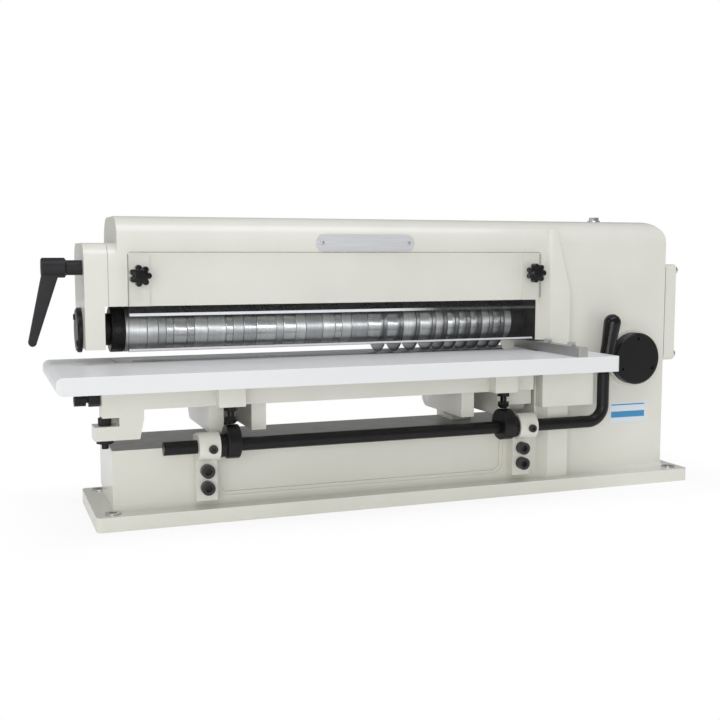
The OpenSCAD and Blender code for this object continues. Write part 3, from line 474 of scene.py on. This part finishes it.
def plain_mesh(name, verts, faces, material, body="frame", smooth=False):
    """A piece that is made here and rides on a body."""
    mesh = bpy.data.meshes.new(name)
    mesh.from_pydata(verts, [], faces)
    mesh.materials.append(material)
    for face in mesh.polygons:
        face.use_smooth = smooth
    obj = bpy.data.objects.new(name, mesh)
    bpy.context.scene.collection.objects.link(obj)
    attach(obj, body)


def front_plate(name, outline, thickness, chamfer, material):
    """Flat plate on the casting's front face: outline in X and Z, chamfered at the front."""
    cx = sum(p[0] for p in outline) / len(outline)
    cz = sum(p[1] for p in outline) / len(outline)

    def ring(y, inset):
        made = []
        for x, z in outline:
            reach = math.hypot(x - cx, z - cz)
            made.append((x - (x - cx) / reach * inset, y, z - (z - cz) / reach * inset))
        return made

    n = len(outline)
    front = FRONT_Y - thickness
    verts = ring(FRONT_Y + PLATE_SUNK, 0) + ring(front + chamfer, 0) + ring(front, chamfer)
    faces = [tuple(reversed(range(n))), tuple(range(2 * n, 3 * n))]
    for row in (0, n):
        for i in range(n):
            j = (i + 1) % n
            faces.append((row + i, row + j, row + n + j, row + n + i))
    plain_mesh(name, verts, faces, material)


def stadium(x0, x1, z0, z1, steps=14):
    """Outline with half-round ends."""
    r = (z1 - z0) / 2
    zc = (z0 + z1) / 2
    points = []
    for cx, start in ((x1 - r, -90), (x0 + r, 90)):
        for i in range(steps + 1):
            a = math.radians(start + 180 * i / steps)
            points.append((cx + r * math.cos(a), zc + r * math.sin(a)))
    return points


def rivet(name, x, z, r):
    """Round-headed drive rivet on the front face."""
    verts, faces, sides = [], [], 20
    profile = [(1.0, 0.0), (1.0, 0.25), (0.85, 0.5), (0.5, 0.75)]
    for reach, height in profile:
        y = FRONT_Y - PLATE_T - r * 0.6 * height
        for i in range(sides):
            a = 2 * math.pi * i / sides
            verts.append((x + r * reach * math.cos(a), y, z + r * reach * math.sin(a)))
    last = (len(profile) - 1) * sides
    for row in range(0, last, sides):
        for i in range(sides):
            j = (i + 1) % sides
            faces.append((row + i, row + j, row + sides + j, row + sides + i))
    faces.append(tuple(range(last, last + sides)))
    faces.append(tuple(reversed(range(sides))))
    plain_mesh(name, verts, faces, MATERIALS["bright_steel"], smooth=True)


def brushed_plate():
    """Blank nameplate of brushed aluminium."""
    s = Shader("brushed_plate")
    s.set(Metallic=0.7)
    grain = s.noise(1.0, 2.0, 0.6, (18.0, 18.0, 1500.0))
    s.link(s.mix(s.ramp(grain, 0.0, 1.0, 0.3, 0.7), rgb(0.70, 0.71, 0.73),
                 rgb(0.86, 0.87, 0.88)), "Base Color")
    s.link(s.ramp(grain, 0.34, 0.50), "Roughness")
    s.link(s.bump(grain, 0.00003, 0.3), "Normal")
    return s.mat


def label_print():
    """Blank label: white sheet with a plain blue band and a thin blue line above."""
    s = Shader("label_print")
    s.set(Metallic=0.0, IOR=1.45)
    x0, x1, z0, z1 = LABEL
    h = z1 - z0
    z, x = s.axis("Z"), s.axis("X")
    band = s.between(z, z0 + 0.26 * h, z0 + 0.56 * h)
    line = s.between(z, z0 + 0.86 * h, z0 + 0.92 * h)
    within = s.between(x, x0 + 0.04 * (x1 - x0), x1 - 0.04 * (x1 - x0))
    blue = s.maths("MULTIPLY", s.maths("MAXIMUM", band, line), within)
    fleck = s.noise(900.0, 2.0)
    paper = s.mix(fleck, rgb(0.66, 0.72, 0.76), rgb(0.72, 0.78, 0.81))
    ink = s.mix(fleck, rgb(0.045, 0.24, 0.47), rgb(0.06, 0.29, 0.53))
    s.link(s.mix(blue, paper, ink), "Base Color")
    s.link(s.ramp(s.noise(60.0, 2.0), 0.28, 0.36), "Roughness")
    return s.mat


def add_plates():
    x0, x1, z0, z1 = NAMEPLATE
    front_plate("blank_nameplate", stadium(*NAMEPLATE), PLATE_T, 0.0004, brushed_plate())
    for side, x in (("left", x0 + 0.008), ("right", x1 - 0.008)):
        rivet("nameplate_rivet_" + side, x, (z0 + z1) / 2, 0.0026)
    x0, x1, z0, z1 = LABEL
    front_plate("blank_label", [(x0, z0), (x1, z0), (x1, z1), (x0, z1)], 0.0004, 0.0001,
                label_print())


make_camera()
dress_nodes()
soften_edges()
add_plates()
light_the_studio()
light_the_world()
make_floor()
bpy.context.scene.view_settings.view_transform = "Standard"
